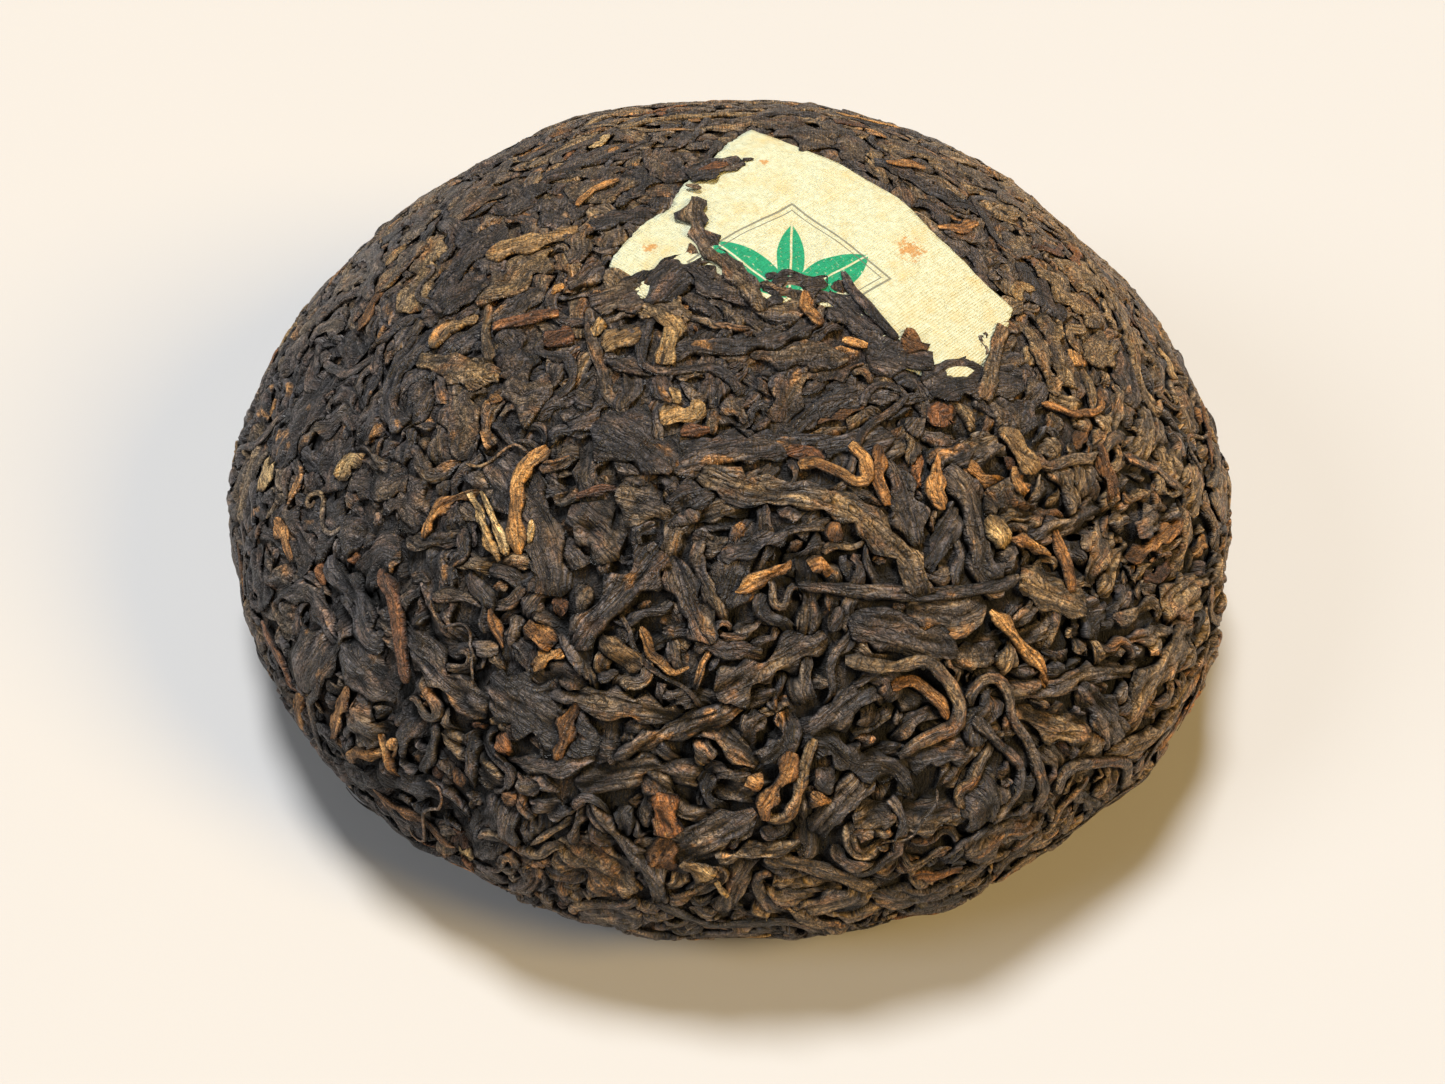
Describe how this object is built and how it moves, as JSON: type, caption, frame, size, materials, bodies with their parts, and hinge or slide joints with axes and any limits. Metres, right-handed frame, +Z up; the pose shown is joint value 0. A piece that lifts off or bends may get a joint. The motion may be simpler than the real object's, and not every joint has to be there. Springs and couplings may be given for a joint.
{
  "type": "pu-erh tuocha",
  "caption": "Dome-shaped cake of pressed dark tea leaves with a foot ring, a nest-shaped hollow below and a plain paper ticket set in its top.",
  "frame": {"origin": "middle of the foot ring's flat underside, at the height of the surface it rests on", "axes": "+Z up through the dome; -Y faces the side that the picture was taken from"},
  "size_m": [0.0826, 0.0822, 0.0385],
  "materials": {
    "pressed_tea": "matt dry leaf with a faint sheen on its ridges",
    "ticket_paper": "thin matt paper, pressed and stained"
  },
  "bodies": {
    "root": {"tea_body": "pressed_tea", "paper_ticket": "ticket_paper"}
  },
  "joints": []
}
